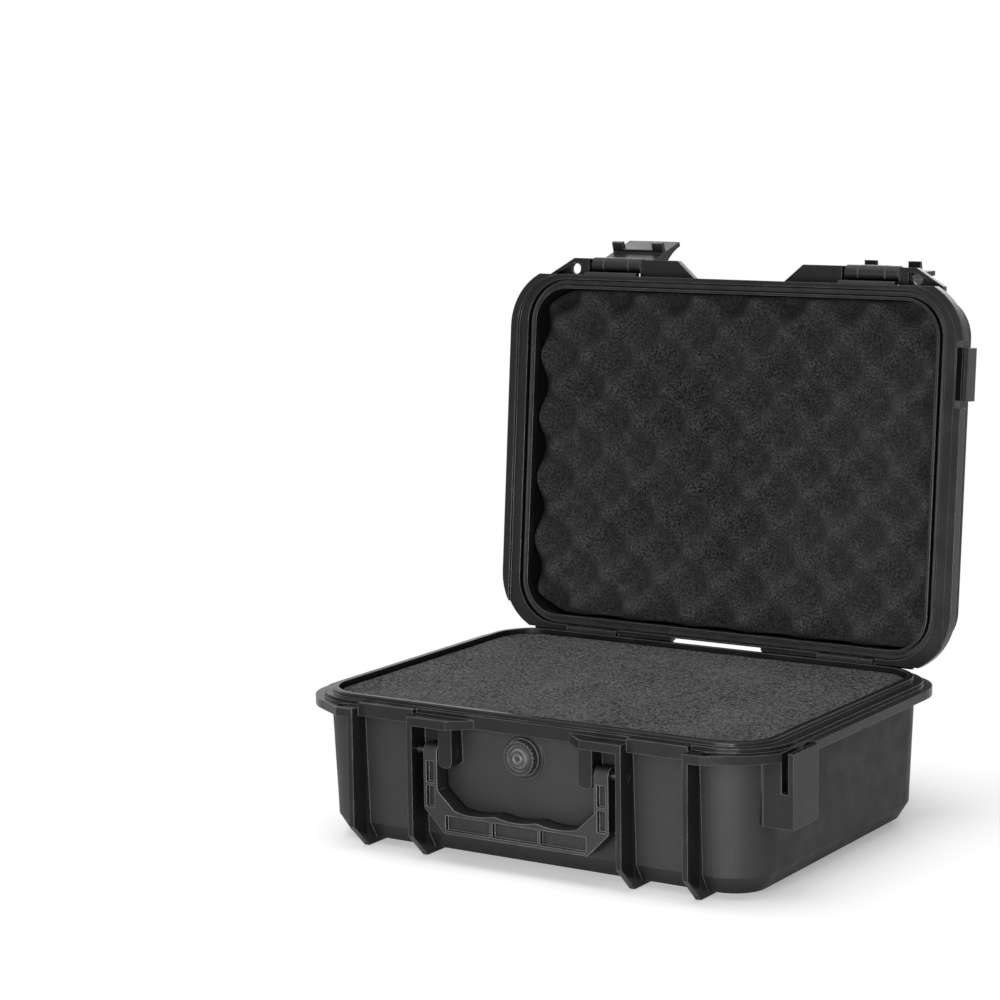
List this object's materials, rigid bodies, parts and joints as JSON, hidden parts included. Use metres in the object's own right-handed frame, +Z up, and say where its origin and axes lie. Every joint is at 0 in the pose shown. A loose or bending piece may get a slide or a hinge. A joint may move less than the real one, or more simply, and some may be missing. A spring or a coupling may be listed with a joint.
{
  "type": "waterproof hard case",
  "caption": "Hinged waterproof plastic equipment case, open, with snap latches, folding handle, pressure valve and foam lining in base and lid.",
  "frame": {"origin": "on the ground under the middle of the base", "axes": "+X to the right seen from the handle side, +Y to the hinge side, +Z up"},
  "size_m": [0.283, 0.2856, 0.2971],
  "materials": {
    "shell": "black moulded plastic with a fine grain, semi-matte",
    "fittings": "black moulded plastic, slightly smoother than the shell",
    "seal": "soft black rubber",
    "foam": "charcoal open-cell foam",
    "steel": "blackened pin"
  },
  "bodies": {
    "base": {"base_shell": "shell", "base_foam_block": "foam", "base_foam_pad": "foam", "hinge_pin_left": "steel", "hinge_pin_right": "steel", "handle_pin_left": "steel", "handle_pin_right": "steel", "valve_bushing": "fittings", "valve_washer": "steel", "valve_nut": "fittings", "valve_o_ring": "seal"},
    "lid": {"lid_shell": "shell", "lid_gasket": "seal", "lid_foam": "foam", "latch_pin_left": "steel", "latch_pin_right": "steel"},
    "handle": {"carry_handle": "fittings"},
    "latch_l": {"latch_left": "fittings"},
    "latch_r": {"latch_right": "fittings"},
    "knob": {"valve_knob": "fittings"}
  },
  "joints": [
    {"name": "lid_hinge", "type": "hinge", "parent": "base", "child": "lid", "pos_m": [0, 0.1015, 0.0785], "axis": [1, 0, 0], "range_deg": [0, 95]},
    {"name": "latch_left_pivot", "type": "hinge", "parent": "lid", "child": "latch_l", "pos_m": [-0.07935, 0.13312, 0.28503], "axis": [1, 0, 0], "range_deg": [-21, 159]},
    {"name": "latch_right_pivot", "type": "hinge", "parent": "lid", "child": "latch_r", "pos_m": [0.07935, 0.13312, 0.28503], "axis": [1, 0, 0], "range_deg": [-4, 176]},
    {"name": "handle_swing", "type": "hinge", "parent": "base", "child": "handle", "pos_m": [0, -0.1035, 0.057], "axis": [-1, 0, 0], "range_deg": [0, 95]},
    {"name": "valve_turn", "type": "hinge", "parent": "base", "child": "knob", "pos_m": [0, -0.1, 0.059], "axis": [0, -1, 0], "range_deg": [0, 540]}
  ]
}
